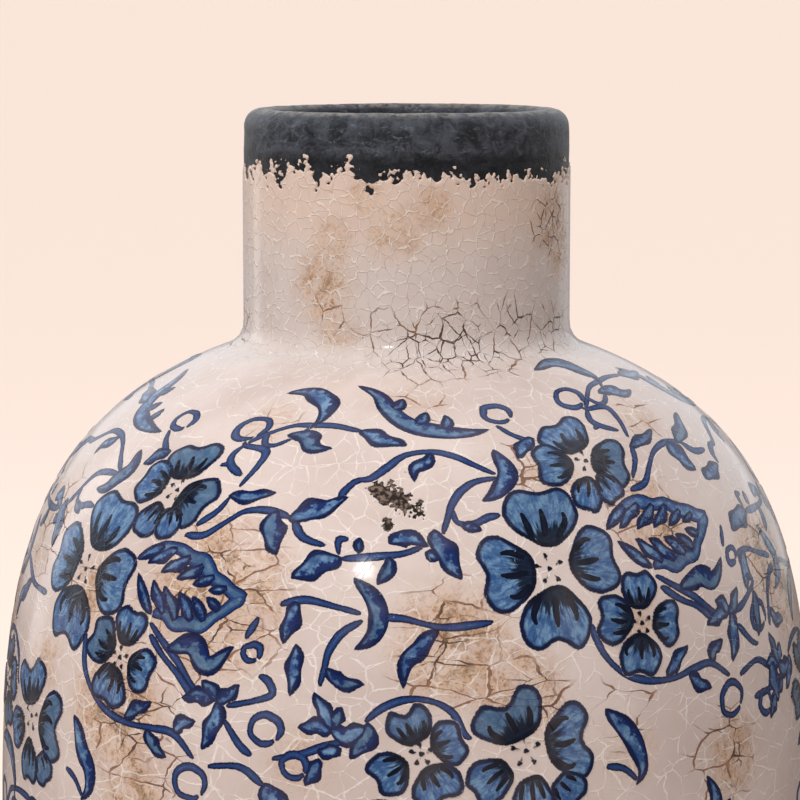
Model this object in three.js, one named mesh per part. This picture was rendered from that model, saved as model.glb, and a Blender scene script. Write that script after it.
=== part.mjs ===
// A glazed pottery vase, thrown on the wheel in sections that are luted together with slip:
// a foot ring, a bowl, a shoulder, a neck collar and a dark rim, under an outer crackle glaze
// and over an inner liner glaze. Each layer and section is a solid of its own.
//
// Millimetres, +Z up. The origin is the centre of the circle that the foot ring stands on.
import * as THREE from "three";

// Overall sizes, measured on the finished glaze.
const HEIGHT = 320;
const BODY_RADIUS = 113;
const BELLY_HEIGHT = 113; // height of the widest circle, where the bowl meets the shoulder
const NECK_RADIUS = 45;
const NECK_RISE = 65; // from the top of the shoulder to the lip

// How full the curves are, as shares of the span that each one crosses.
const SHOULDER_SLOPE = THREE.MathUtils.degToRad(20);
const SHOULDER_FULLNESS = 0.94;
const SIDE_FULLNESS = 0.52;
const HIP_SLOPE = THREE.MathUtils.degToRad(52);
const HIP_FULLNESS = 0.38;
const LOWER_SIDE_FULLNESS = 0.42;
const NECK_FILLET = 7;

// Foot and floor.
const FOOT_RADIUS = 76;
const FOOT_WIDTH = 10;
const FOOT_HEIGHT = 6;
const FOOT_BEVEL = 1.2;
const FLOOR = 9;
const FLOOR_COVE = 14; // sweep of the inside corner between the floor and the wall

// Walls and layers.
const WALL = 6.5;
const OUTER_GLAZE = 0.8;
const LINER_GLAZE = 0.6;
const SLIP = 0.3; // film of slip between any two pieces
const GLAZE_START = 6; // bare clay above the foot, along the wall

// Luted joints: the lower piece has a tongue on its inner half, the upper one laps outside it.
const LAP = 6;
const FOOT_KEY_WIDTH = 4;
const FOOT_KEY_HEIGHT = 2;

// Rim.
const RIM_DEPTH = 26; // from the lip down to the joint with the neck collar
const RIM_BARE = 16; // unglazed part of the rim, below the lip
const LIP_OUTER_ROUND = 5;
const LIP_INNER_ROUND = 3;

// Facets.
const SEGMENTS = 36;
const HIP_STEPS = 8;
const SIDE_STEPS = 11;
const FILLET_STEPS = 4;
const LIP_STEPS = 4;
const COVE_STEPS = 4;

// Depths below the finished glaze, outermost first.
const CLAY_FACE = OUTER_GLAZE + SLIP;
const CLAY_BACK = CLAY_FACE + WALL;
const CLAY_MIDDLE = CLAY_FACE + WALL / 2;
const LINER_FACE = CLAY_BACK + SLIP;
const LINER_BACK = LINER_FACE + LINER_GLAZE;

const FLOOR_UNDERSIDE = FOOT_HEIGHT + SLIP;
const FLOOR_TOP = FLOOR_UNDERSIDE + FLOOR;

const at = (radius, height) => new THREE.Vector2(radius, height);

// The finished outside from the foot to the lip, as radius and height. The four legs are the
// hip, the side and shoulder, the neck's fillet, and the neck.
function outsideLegs() {
  const filletSweep = Math.PI / 2 - SHOULDER_SLOPE;
  const filletMiddle = at(
    NECK_RADIUS + NECK_FILLET,
    HEIGHT - NECK_RISE + NECK_FILLET * Math.sin(filletSweep),
  );
  const foot = at(FOOT_RADIUS, FOOT_HEIGHT);
  const belly = at(BODY_RADIUS, BELLY_HEIGHT);
  const shoulder = at(
    filletMiddle.x - NECK_FILLET * Math.cos(filletSweep),
    filletMiddle.y - NECK_FILLET * Math.sin(filletSweep),
  );
  const hipReach = (HIP_FULLNESS * (belly.y - foot.y)) / Math.sin(HIP_SLOPE);
  const shoulderReach = (SHOULDER_FULLNESS * (belly.x - shoulder.x)) / Math.cos(SHOULDER_SLOPE);

  const hip = new THREE.CubicBezierCurve(
    foot,
    at(foot.x + hipReach * Math.cos(HIP_SLOPE), foot.y + hipReach * Math.sin(HIP_SLOPE)),
    at(belly.x, belly.y - LOWER_SIDE_FULLNESS * (belly.y - foot.y)),
    belly,
  );
  const side = new THREE.CubicBezierCurve(
    belly,
    at(belly.x, belly.y + SIDE_FULLNESS * (shoulder.y - belly.y)),
    at(
      shoulder.x + shoulderReach * Math.cos(SHOULDER_SLOPE),
      shoulder.y - shoulderReach * Math.sin(SHOULDER_SLOPE),
    ),
    shoulder,
  );
  const fillet = new THREE.EllipseCurve(
    filletMiddle.x,
    filletMiddle.y,
    NECK_FILLET,
    NECK_FILLET,
    Math.PI + filletSweep,
    Math.PI,
    true,
  );
  const neck = new THREE.LineCurve(at(NECK_RADIUS, filletMiddle.y), at(NECK_RADIUS, HEIGHT));
  return [hip, side, fillet, neck];
}

const outside = new THREE.CurvePath();
outsideLegs().forEach((leg) => outside.add(leg));
const [BELLY_SEAM, FILLET_START, NECK_SEAM, LIP] = outside.getCurveLengths();
const RIM_SEAM = LIP - RIM_DEPTH;
const GLAZE_TOP = LIP - RIM_BARE;

// A point that lies a depth inside the finished outside, at a length along it from the foot.
function inWall(length, depth) {
  const share = length / LIP;
  const tangent = outside.getTangent(share);
  return outside.getPoint(share).add(at(-tangent.y, tangent.x).multiplyScalar(depth));
}

// The lengths at which every layer has its corners, so that neighbouring facets run parallel.
function cornerLengths() {
  const evenly = (from, to, steps) =>
    Array.from({ length: steps }, (_, i) => from + ((to - from) * i) / steps);
  return [
    ...evenly(0, BELLY_SEAM, HIP_STEPS),
    ...evenly(BELLY_SEAM, FILLET_START, SIDE_STEPS),
    ...evenly(FILLET_START, NECK_SEAM, FILLET_STEPS),
    NECK_SEAM,
  ];
}

const CORNERS = cornerLengths();
const LEAST_STEP = 0.5;

// One face of a layer at a depth, from one length up to another.
function face(from, to, depth) {
  const between = CORNERS.filter(
    (length) => length > from + LEAST_STEP && length < to - LEAST_STEP,
  );
  return [from, ...between, to].map((length) => inWall(length, depth));
}

// The inside of the pot at a depth, from a length down the wall, round the cove and over the
// floor to the axis.
function cavity(from, depth, floor) {
  const wall = face(0, from, depth)
    .reverse()
    .filter((point) => point.y > floor + FLOOR_COVE);
  const foot = wall[wall.length - 1];
  const cove = new THREE.QuadraticBezierCurve(
    foot,
    at(foot.x - (foot.y - floor) / Math.tan(HIP_SLOPE), floor),
    at(foot.x - (foot.y - floor) / Math.tan(HIP_SLOPE) - FLOOR_COVE, floor),
  );
  return [...wall, ...cove.getPoints(COVE_STEPS).slice(1), at(0, floor)];
}

// The tongue that a lower piece raises on its inner half, above a seam.
const tongue = (seam) => face(seam, seam + LAP, CLAY_MIDDLE + SLIP / 2);

// The rebate that an upper piece has for that tongue, from its inner corner down to its foot.
const rebate = (seam) => face(seam + SLIP, seam + LAP + SLIP, CLAY_MIDDLE - SLIP / 2).reverse();

// A quarter round of the lip, anticlockwise from one angle to another.
function lipRound(middle, radius, from, to) {
  const quarter = new THREE.EllipseCurve(middle.x, middle.y, radius, radius, from, to, false);
  return quarter.getPoints(LIP_STEPS);
}

function footRing() {
  const inner = FOOT_RADIUS - FOOT_WIDTH;
  const keyMiddle = FOOT_RADIUS - FOOT_WIDTH / 2;
  const keyTop = FOOT_HEIGHT + FOOT_KEY_HEIGHT;
  return [
    at(inner + FOOT_BEVEL, 0),
    at(FOOT_RADIUS - FOOT_BEVEL, 0),
    at(FOOT_RADIUS, FOOT_BEVEL),
    at(FOOT_RADIUS, FOOT_HEIGHT),
    at(keyMiddle + FOOT_KEY_WIDTH / 2, FOOT_HEIGHT),
    at(keyMiddle + FOOT_KEY_WIDTH / 2, keyTop),
    at(keyMiddle - FOOT_KEY_WIDTH / 2, keyTop),
    at(keyMiddle - FOOT_KEY_WIDTH / 2, FOOT_HEIGHT),
    at(inner, FOOT_HEIGHT),
    at(inner, FOOT_BEVEL),
  ];
}

// The groove in the bowl's underside that the foot ring's key sits in, from the axis outwards.
function footGroove() {
  const middle = FOOT_RADIUS - FOOT_WIDTH / 2;
  const half = FOOT_KEY_WIDTH / 2 + SLIP;
  const top = FLOOR_UNDERSIDE + FOOT_KEY_HEIGHT;
  return [
    at(middle - half, FLOOR_UNDERSIDE),
    at(middle - half, top),
    at(middle + half, top),
    at(middle + half, FLOOR_UNDERSIDE),
  ];
}

function bowl() {
  const wall = face(0, BELLY_SEAM, CLAY_FACE).filter((point) => point.y > FLOOR_UNDERSIDE + 1);
  const heel = at(FOOT_RADIUS - CLAY_FACE, FLOOR_UNDERSIDE);
  return [
    at(0, FLOOR_UNDERSIDE),
    ...footGroove(),
    heel,
    ...wall,
    ...tongue(BELLY_SEAM),
    ...cavity(BELLY_SEAM + LAP, CLAY_BACK, FLOOR_TOP),
  ];
}

function shoulder() {
  return [
    ...face(BELLY_SEAM + SLIP, NECK_SEAM, CLAY_FACE),
    ...tongue(NECK_SEAM),
    ...face(BELLY_SEAM + LAP + SLIP, NECK_SEAM + LAP, CLAY_BACK).reverse(),
    ...rebate(BELLY_SEAM),
  ];
}

function neckCollar() {
  return [
    ...face(NECK_SEAM + SLIP, RIM_SEAM, CLAY_FACE),
    ...tongue(RIM_SEAM),
    ...face(NECK_SEAM + LAP + SLIP, RIM_SEAM + LAP, CLAY_BACK).reverse(),
    ...rebate(NECK_SEAM),
  ];
}

function rim() {
  const bore = NECK_RADIUS - LINER_BACK;
  const glazeTop = HEIGHT - RIM_BARE + SLIP;
  const outerRound = at(NECK_RADIUS - LIP_OUTER_ROUND, HEIGHT - LIP_OUTER_ROUND);
  const innerRound = at(bore + LIP_INNER_ROUND, HEIGHT - LIP_INNER_ROUND);
  return [
    ...face(RIM_SEAM + SLIP, GLAZE_TOP, CLAY_FACE),
    at(NECK_RADIUS - CLAY_FACE, glazeTop),
    at(NECK_RADIUS, glazeTop),
    ...lipRound(outerRound, LIP_OUTER_ROUND, 0, Math.PI / 2),
    ...lipRound(innerRound, LIP_INNER_ROUND, Math.PI / 2, Math.PI),
    inWall(RIM_SEAM + LAP + SLIP, LINER_BACK),
    ...rebate(RIM_SEAM),
  ];
}

const outerGlaze = () => [
  ...face(GLAZE_START, GLAZE_TOP, 0),
  ...face(GLAZE_START, GLAZE_TOP, OUTER_GLAZE).reverse(),
];

const linerGlaze = () => [
  ...cavity(RIM_SEAM + LAP, LINER_FACE, FLOOR_TOP + SLIP).reverse(),
  ...cavity(RIM_SEAM + LAP, LINER_BACK, FLOOR_TOP + SLIP + LINER_GLAZE),
];

const DARK_CLAY = new THREE.MeshStandardMaterial({ color: 0x3a2f2a, roughness: 0.9 });
const DARK_SLIP = new THREE.MeshStandardMaterial({ color: 0x2b2c31, roughness: 0.65 });
const CRACKLE_GLAZE = new THREE.MeshStandardMaterial({ color: 0xd9c8bd, roughness: 0.12 });
const LINER = new THREE.MeshStandardMaterial({ color: 0x4a403a, roughness: 0.35 });

// Turns an outline of radius and height round the vase's axis. An outline that doesn't run from
// the axis back to the axis is closed on itself.
function turned(name, outline, material) {
  const endsOnAxis = outline[0].x === 0;
  const closed = endsOnAxis ? outline : [...outline, outline[0]];
  const geometry = new THREE.LatheGeometry(closed, SEGMENTS);
  geometry.rotateX(Math.PI / 2);
  const mesh = new THREE.Mesh(geometry, material);
  mesh.name = name;
  return mesh;
}

const vase = new THREE.Group();
vase.add(
  turned("foot_ring", footRing(), DARK_CLAY),
  turned("bowl", bowl(), DARK_CLAY),
  turned("shoulder", shoulder(), DARK_CLAY),
  turned("neck_collar", neckCollar(), DARK_CLAY),
  turned("rim", rim(), DARK_SLIP),
  turned("outer_glaze", outerGlaze(), CRACKLE_GLAZE),
  turned("liner_glaze", linerGlaze(), LINER),
);

export default vase;
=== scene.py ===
"""A crackle-glazed pottery vase with a dark worn rim and blue painted sprays, on a pale floor."""
import math

import bpy
import numpy as np
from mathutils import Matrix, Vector, noise


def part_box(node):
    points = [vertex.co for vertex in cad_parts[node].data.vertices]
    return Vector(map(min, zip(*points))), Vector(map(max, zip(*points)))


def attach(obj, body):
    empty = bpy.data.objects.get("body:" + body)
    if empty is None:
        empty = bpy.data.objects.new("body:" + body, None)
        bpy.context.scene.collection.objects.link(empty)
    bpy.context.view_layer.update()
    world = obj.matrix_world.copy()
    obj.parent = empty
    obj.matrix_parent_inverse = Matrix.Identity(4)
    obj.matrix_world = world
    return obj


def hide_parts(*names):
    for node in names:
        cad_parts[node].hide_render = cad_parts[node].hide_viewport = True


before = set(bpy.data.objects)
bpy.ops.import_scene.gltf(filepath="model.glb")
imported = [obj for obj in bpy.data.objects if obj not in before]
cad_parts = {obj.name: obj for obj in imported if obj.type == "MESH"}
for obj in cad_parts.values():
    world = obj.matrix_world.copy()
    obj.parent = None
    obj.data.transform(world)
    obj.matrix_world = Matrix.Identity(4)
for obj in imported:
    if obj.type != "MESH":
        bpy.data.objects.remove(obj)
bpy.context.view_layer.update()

MM = 0.001

# ---------------------------------------------------------------------------------------------
# Sizes, in millimetres. The driving ones come from the frame.
# ---------------------------------------------------------------------------------------------


def node_reach(node):
    """A turned node's radius, lowest height and highest height, in millimetres."""
    low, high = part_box(node)
    return high.x / MM, low.z / MM, high.z / MM


BODY_RADIUS = node_reach("outer_glaze")[0]
NECK_RADIUS, _, HEIGHT = node_reach("rim")
FOOT_RADIUS = node_reach("foot_ring")[0]
BELLY_HEIGHT = 113
NECK_RISE = 65
NECK_FILLET = 7

# Slopes where the shoulder meets the neck and the hip meets the foot, and how far each end of the
# wall's two sweeps runs on along its own slope, as shares of the way.
SHOULDER_SLOPE = math.radians(20)
SHOULDER_FULLNESS = 0.94
SIDE_FULLNESS = 0.52
HIP_SLOPE = math.radians(52)
HIP_FULLNESS = 0.38
LOWER_SIDE_FULLNESS = 0.42

FOOT_HEIGHT = 6
FOOT_WIDTH = 10
FOOT_ROUND = 1.2
FOOT_KEY_WIDTH = 4
FOOT_KEY_HEIGHT = 2
FLOOR = 9
FLOOR_COVE = 14

# Thicknesses through the wall, from the outside in. The slip is the gap left at every joint.
GLAZE = 0.8
SLIP = 0.05
WALL = 6.9
LINER = 0.6

LAP = 6
RIM_DEPTH = 26
RIM_BARE = 16
RIM_RECESS = 0.4
LIP_OUTER_ROUND = 5
LIP_INNER_ROUND = 3
GLAZE_ABOVE_FOOT = 6
EDGE_BAND_DEPTH = 2
CORNER_GAP = 0.5

CLAY_FACE = GLAZE + SLIP
CLAY_BACK = CLAY_FACE + WALL
CLAY_MIDDLE = CLAY_FACE + WALL / 2
LINER_FACE = CLAY_BACK + SLIP
LINER_BACK = LINER_FACE + LINER
FLOOR_UNDERSIDE = FOOT_HEIGHT + SLIP
FLOOR_TOP = FLOOR_UNDERSIDE + FLOOR

# ---------------------------------------------------------------------------------------------
# The wall: a point on the outside is given by its turn round the axis, in degrees to the right
# of the front, and its rise along the wall, in millimetres up from the widest circle.
# ---------------------------------------------------------------------------------------------

HIP_STEPS = 400
SIDE_STEPS = 600
FILLET_STEPS = 60
NECK_STEPS = 200


def bezier(points, steps):
    """A curve from the first point to the last, drawn towards the two between them."""
    share = np.linspace(0, 1, steps)[:, None]
    a, b, c, d = (np.array(point, float) for point in points)
    left = 1 - share
    return left**3 * a + 3 * left**2 * share * b + 3 * left * share**2 * c + share**3 * d


def outside_curve():
    """The finished outside from the foot to the lip, as radius and height, with each point's rise.

    The last value is the rise at which the straight neck starts.
    """
    sweep = math.pi / 2 - SHOULDER_SLOPE
    middle = (NECK_RADIUS + NECK_FILLET, HEIGHT - NECK_RISE + NECK_FILLET * math.sin(sweep))
    foot = (FOOT_RADIUS, FOOT_HEIGHT)
    belly = (BODY_RADIUS, BELLY_HEIGHT)
    shoulder = (
        middle[0] - NECK_FILLET * math.cos(sweep),
        middle[1] - NECK_FILLET * math.sin(sweep),
    )
    hip_reach = HIP_FULLNESS * (belly[1] - foot[1]) / math.sin(HIP_SLOPE)
    top_reach = SHOULDER_FULLNESS * (belly[0] - shoulder[0]) / math.cos(SHOULDER_SLOPE)
    hip_end = (foot[0] + hip_reach * math.cos(HIP_SLOPE), foot[1] + hip_reach * math.sin(HIP_SLOPE))
    below_belly = (belly[0], belly[1] - LOWER_SIDE_FULLNESS * (belly[1] - foot[1]))
    above_belly = (belly[0], belly[1] + SIDE_FULLNESS * (shoulder[1] - belly[1]))
    shoulder_end = (
        shoulder[0] + top_reach * math.cos(SHOULDER_SLOPE),
        shoulder[1] - top_reach * math.sin(SHOULDER_SLOPE),
    )
    hip = bezier([foot, hip_end, below_belly, belly], HIP_STEPS)
    side = bezier([belly, above_belly, shoulder_end, shoulder], SIDE_STEPS)
    angles = np.linspace(math.pi + sweep, math.pi, FILLET_STEPS)
    fillet = np.stack(
        [middle[0] + NECK_FILLET * np.cos(angles), middle[1] + NECK_FILLET * np.sin(angles)], 1
    )
    heights = np.linspace(middle[1], HEIGHT, NECK_STEPS)
    neck = np.stack([np.full(len(heights), NECK_RADIUS), heights], 1)
    points = np.vstack([hip, side[1:], fillet[1:], neck[1:]])
    lengths = np.concatenate([[0], np.cumsum(np.hypot(*np.diff(points, axis=0).T))])
    rises = lengths - lengths[len(hip) - 1]
    return points, rises, rises[len(hip) + len(side) + len(fillet) - 3]


OUTSIDE, RISES, NECK_SEAM = outside_curve()
FOOT_RISE = RISES[0]
LIP = RISES[-1]
RIM_SEAM = LIP - RIM_DEPTH
GLAZE_TOP = LIP - RIM_BARE
GLAZE_START = FOOT_RISE + GLAZE_ABOVE_FOOT
EDGE_BAND = RIM_SEAM - EDGE_BAND_DEPTH

# The way the outside runs at each point: radius and height gained with each millimetre of rise.
SLOPES = np.gradient(OUTSIDE, RISES, axis=0)
SLOPES /= np.linalg.norm(SLOPES, axis=1)[:, None]


def in_wall(rise, depth):
    """Radius and height of points a depth inside the finished outside."""
    radius, height = (np.interp(rise, RISES, OUTSIDE[:, i]) for i in (0, 1))
    inwards, down = (np.interp(rise, RISES, SLOPES[:, i]) for i in (0, 1))
    return radius - down * depth, height + inwards * depth


def on_wall(turn, rise, lift=0.0):
    """Points in metres, a lift above the finished outside."""
    radius, height = in_wall(rise, -np.asarray(lift, float))
    angle = np.radians(turn)
    return np.stack([radius * np.sin(angle), -radius * np.cos(angle), height + 0 * angle], -1) * MM


def out_of_wall(turn, rise):
    """The finished outside's normals."""
    inwards, down = (np.interp(rise, RISES, SLOPES[:, i]) for i in (0, 1))
    angle = np.radians(turn)
    return np.stack([down * np.sin(angle), -down * np.cos(angle), -inwards + 0 * angle], -1)


def evenly(start, end, step):
    """Places from start to end, no further apart than step."""
    return np.linspace(start, end, max(2, math.ceil(abs(end - start) / step) + 1))


# ---------------------------------------------------------------------------------------------
# Outlines of the turned pieces, as rows of radius and height.
# ---------------------------------------------------------------------------------------------

WALL_STEP = 2.5
FLOOR_STEP = 8
RIM_STEP = 0.8
BORE_STEP = 1.2
ARC_STEPS = 8
COVE_STEPS = 12


def wall_face(start, end, depth):
    """One face of a layer, from one rise to another."""
    rises = evenly(start, end, WALL_STEP)
    return np.stack(in_wall(rises, depth), 1)


def arc(middle, radius, start, end):
    """A round corner, from one angle to another in degrees."""
    angles = np.radians(np.linspace(start, end, ARC_STEPS))
    return np.stack([middle[0] + radius * np.cos(angles), middle[1] + radius * np.sin(angles)], 1)


def cavity_face(start, depth, floor):
    """The inside at a depth, from a rise down the wall, round the cove and over the floor."""
    wall = wall_face(start, FOOT_RISE, depth)
    wall = wall[wall[:, 1] > floor + FLOOR_COVE]
    foot = wall[-1]
    corner = (foot[0] - (foot[1] - floor) / math.tan(HIP_SLOPE), floor)
    cove = bezier([foot, corner, corner, (corner[0] - FLOOR_COVE, floor)], COVE_STEPS)
    across = evenly(cove[-1][0], 0, FLOOR_STEP)
    ground = np.stack([across, np.full(len(across), floor)], 1)
    return np.vstack([wall, cove[1:], ground[1:]])


def tongue(seam):
    """The half of the wall that stands up past a seam, inside the section above."""
    return wall_face(seam, seam + LAP, CLAY_MIDDLE + SLIP / 2)


def rebate(seam):
    """The face that laps down over the tongue below, a film of slip away."""
    return wall_face(seam + LAP + SLIP, seam + SLIP, CLAY_MIDDLE - SLIP / 2)


def foot_ring_outline():
    inner = FOOT_RADIUS - FOOT_WIDTH
    key = FOOT_RADIUS - FOOT_WIDTH / 2
    key_top = FOOT_HEIGHT + FOOT_KEY_HEIGHT
    return np.vstack(
        [
            arc((inner + FOOT_ROUND, FOOT_ROUND), FOOT_ROUND, 180, 270),
            arc((FOOT_RADIUS - FOOT_ROUND, FOOT_ROUND), FOOT_ROUND, 270, 360),
            [(FOOT_RADIUS, FOOT_HEIGHT)],
            [(key + FOOT_KEY_WIDTH / 2, FOOT_HEIGHT), (key + FOOT_KEY_WIDTH / 2, key_top)],
            [(key - FOOT_KEY_WIDTH / 2, key_top), (key - FOOT_KEY_WIDTH / 2, FOOT_HEIGHT)],
            [(inner, FOOT_HEIGHT)],
        ]
    )


def bowl_outline():
    groove = FOOT_RADIUS - FOOT_WIDTH / 2
    half = FOOT_KEY_WIDTH / 2 + SLIP
    groove_top = FLOOR_UNDERSIDE + FOOT_KEY_HEIGHT
    wall = wall_face(FOOT_RISE, 0, CLAY_FACE)
    return np.vstack(
        [
            [(0, FLOOR_UNDERSIDE), (groove - half, FLOOR_UNDERSIDE), (groove - half, groove_top)],
            [(groove + half, groove_top), (groove + half, FLOOR_UNDERSIDE)],
            [(FOOT_RADIUS - CLAY_FACE, FLOOR_UNDERSIDE)],
            wall[wall[:, 1] > FLOOR_UNDERSIDE + CORNER_GAP],
            tongue(0),
            cavity_face(LAP, CLAY_BACK, FLOOR_TOP),
        ]
    )


def lapped_outline(seam, top):
    """A section that laps over the tongue below it and raises a tongue at its own top."""
    return np.vstack(
        [
            wall_face(seam + SLIP, top, CLAY_FACE),
            tongue(top),
            wall_face(top + LAP, seam + LAP + SLIP, CLAY_BACK),
            rebate(seam),
        ]
    )


def rim_outline():
    bore = NECK_RADIUS - LINER_BACK
    outer = (NECK_RADIUS - LIP_OUTER_ROUND - RIM_RECESS, HEIGHT - LIP_OUTER_ROUND)
    inner = (bore + LIP_INNER_ROUND, HEIGHT - LIP_INNER_ROUND)
    rises = evenly(RIM_SEAM + SLIP, LIP - LIP_OUTER_ROUND, RIM_STEP)
    bare = np.stack(in_wall(rises, RIM_RECESS), 1)
    inside = evenly(HEIGHT - LIP_INNER_ROUND, HEIGHT - RIM_DEPTH + LAP + SLIP, BORE_STEP)[1:]
    return np.vstack(
        [
            bare[:-1],
            arc(outer, LIP_OUTER_ROUND, 0, 90),
            arc(inner, LIP_INNER_ROUND, 90, 180),
            np.stack([np.full(len(inside), bore), inside], 1),
            rebate(RIM_SEAM),
        ]
    )


def coat_outline():
    """The outer glaze from the bare clay at the foot up to its ragged edge band."""
    return np.vstack(
        [wall_face(GLAZE_START, EDGE_BAND, 0), wall_face(EDGE_BAND, GLAZE_START, GLAZE)]
    )


def liner_outline():
    return np.vstack(
        [
            cavity_face(RIM_SEAM + LAP, LINER_FACE, FLOOR_TOP + SLIP)[::-1],
            cavity_face(RIM_SEAM + LAP, LINER_BACK, FLOOR_TOP + SLIP + LINER),
        ]
    )


# ---------------------------------------------------------------------------------------------
# Making pieces
# ---------------------------------------------------------------------------------------------

ROUND_STEPS = 120
FOOT_ROUND_STEPS = 192
RIM_ROUND_STEPS = 320
COAT_ROUND_STEPS = 288
LINER_ROUND_STEPS = 160
SHARP_ANGLE = math.radians(35)
MERGE_GAP = 0.002 * MM


def finish_piece(piece, name, node, material):
    """Names a piece, gives it its finish, hides the node it stands in for and hangs it from the root.
    """
    piece.name = name
    piece.data.name = name
    piece.data.materials.clear()
    piece.data.materials.append(material)
    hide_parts(node)
    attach(piece, "root")


def turned(outline, steps=ROUND_STEPS):
    """A piece thrown on the wheel: a ring of points set along the outline, spun about the axis."""
    bpy.ops.object.select_all(action="DESELECT")
    bpy.ops.mesh.primitive_circle_add(vertices=len(outline), location=(0, 0, 0))
    piece = bpy.context.object
    for vertex, (radius, height) in zip(piece.data.vertices, outline):
        vertex.co = (radius * MM, 0, height * MM)
    bpy.ops.object.mode_set(mode="EDIT")
    bpy.ops.mesh.select_all(action="SELECT")
    bpy.ops.mesh.spin(steps=steps, angle=2 * math.pi, center=(0, 0, 0), axis=(0, 0, 1))
    bpy.ops.mesh.select_all(action="SELECT")
    bpy.ops.mesh.remove_doubles(threshold=MERGE_GAP)
    bpy.ops.mesh.delete_loose(use_verts=True, use_edges=True, use_faces=False)
    bpy.ops.mesh.select_all(action="SELECT")
    bpy.ops.mesh.normals_make_consistent(inside=False)
    bpy.ops.object.mode_set(mode="OBJECT")
    bpy.ops.object.shade_smooth_by_angle(angle=SHARP_ANGLE)
    return piece


def ripple(place, scale, seed=0.0):
    """Smooth noise between about -1 and 1, at a place in millimetres, in waves of a scale."""
    return noise.noise(Vector(place) / scale + Vector((seed, -seed, 2 * seed)))


def roughen(piece, amount, scale, low):
    """Moves a piece's surface in and out a little above a height, as hand work and wear leave it."""
    moved = []
    for vertex in piece.data.vertices:
        place = vertex.co / MM
        swell = ripple(place, scale) + 0.4 * ripple(place, scale / 3, 5) if place.z > low else 0
        moved.append(vertex.co + vertex.normal * (amount * swell * MM))
    for vertex, place in zip(piece.data.vertices, moved):
        vertex.co = place


# ---------------------------------------------------------------------------------------------
# The ragged upper edge of the glaze, where it ran out over the dark rim
# ---------------------------------------------------------------------------------------------

BAND_CELL = 0.42
BAND_BELOW_LIP = 6
EDGE_DROP = 0.4
EDGE_SWELL = 1.6
EDGE_THIN = 0.06
CUT_MARGIN = 0.04
EDGE_SHARP_ANGLE = math.radians(40)

# What makes the edge uneven: waves, each an amount, its sizes round and up the neck and a seed.
# Fingers of glaze and drips of bare slip are the peaks of tall thin waves, past a last value.
EDGE_WANDER = [(1.8, 15, 15, 0), (2.6, 4.4, 5.5, 0)]
EDGE_BITES = [(4.0, 2.2, 2.0, 3), (3.6, 1.0, 0.9, 5)]
GLAZE_FINGERS = (9, 4.0, 40, 8, 0.24)
SLIP_DRIPS = (8, 3.4, 40, 11, 0.26)


def streaked(place, across, along, seed):
    """Noise in streaks that run up the neck: waves of one size round it and another up it."""
    x, y, z = place
    return noise.noise(Vector((x / across + seed, y / across, z / along - seed)))


def waves(place, rows):
    return sum(amount * streaked(place, *sizes) for amount, *sizes in rows)


def peaks(place, amount, across, along, seed, start):
    return amount * max(0.0, streaked(place, across, along, seed) - start)


def edge_reach(x, y, rise):
    """How far inside the glaze's ragged edge a place is, in millimetres; less than 0 is bare."""
    place = (x, y, rise)
    wander = waves(place, EDGE_WANDER)
    bites = waves(place, EDGE_BITES)
    fingers = peaks(place, *GLAZE_FINGERS)
    drips = peaks(place, *SLIP_DRIPS)
    return GLAZE_TOP - EDGE_DROP + wander + bites + fingers - drips - rise


def cut_to(reach, points, triangles):
    """Cuts a sheet of triangles where its reach passes zero. Gives the points and triangles."""
    points = [tuple(point) for point in points]
    reach = list(reach)
    cuts = {}
    kept = []

    def cut(inner, outer):
        key = (inner, outer)
        if key not in cuts:
            share = reach[inner] / (reach[inner] - reach[outer])
            share = min(max(share, CUT_MARGIN), 1 - CUT_MARGIN)
            a, b = points[inner], points[outer]
            points.append(tuple(p + share * (q - p) for p, q in zip(a, b)))
            reach.append(0.0)
            cuts[key] = len(points) - 1
        return cuts[key]

    for corners in triangles:
        inside = [reach[corner] > 0 for corner in corners]
        count = sum(inside)
        if count == 3:
            kept.append(corners)
        elif count == 1:
            first = inside.index(True)
            a, b, c = (corners[(first + i) % 3] for i in range(3))
            kept.append((a, cut(a, b), cut(a, c)))
        elif count == 2:
            first = inside.index(False)
            a, b, c = (corners[(first + i) % 3] for i in range(3))
            kept.append((b, c, cut(c, a)))
            kept.append((b, cut(c, a), cut(b, a)))
    return points, reach, kept


def glaze_edge_mesh():
    """Front and back points and triangles of the glaze's edge, cut from a fine net on the neck."""
    columns = round(2 * math.pi * NECK_RADIUS / BAND_CELL)
    rises = evenly(EDGE_BAND, LIP - BAND_BELOW_LIP, BAND_CELL)
    angles = np.arange(columns) * 2 * math.pi / columns
    ring = [(NECK_RADIUS * math.sin(a), NECK_RADIUS * math.cos(a)) for a in angles]
    places = [(x, y, rise) for rise in rises for x, y in ring]
    reach = [edge_reach(*place) for place in places]
    triangles = []
    for row in range(len(rises) - 1):
        for column in range(columns):
            a = row * columns + column
            b = row * columns + (column + 1) % columns
            c, d = b + columns, a + columns
            if (row + column) % 2:
                triangles += [(a, b, c), (a, c, d)]
            else:
                triangles += [(a, b, d), (b, c, d)]
    places, reach, triangles = cut_to(reach, places, triangles)
    x, y, rises = np.array(places).T
    turns = np.degrees(np.arctan2(x, y))
    thickness = np.clip(np.array(reach) / EDGE_SWELL, 0, 1)
    thickness = np.sqrt(thickness * (2 - thickness))
    lowest = RIM_RECESS - EDGE_THIN
    lift = -lowest + lowest * thickness
    front = on_wall(turns, rises, lift)
    back = on_wall(turns, rises, -GLAZE)
    return front, back, triangles


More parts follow.
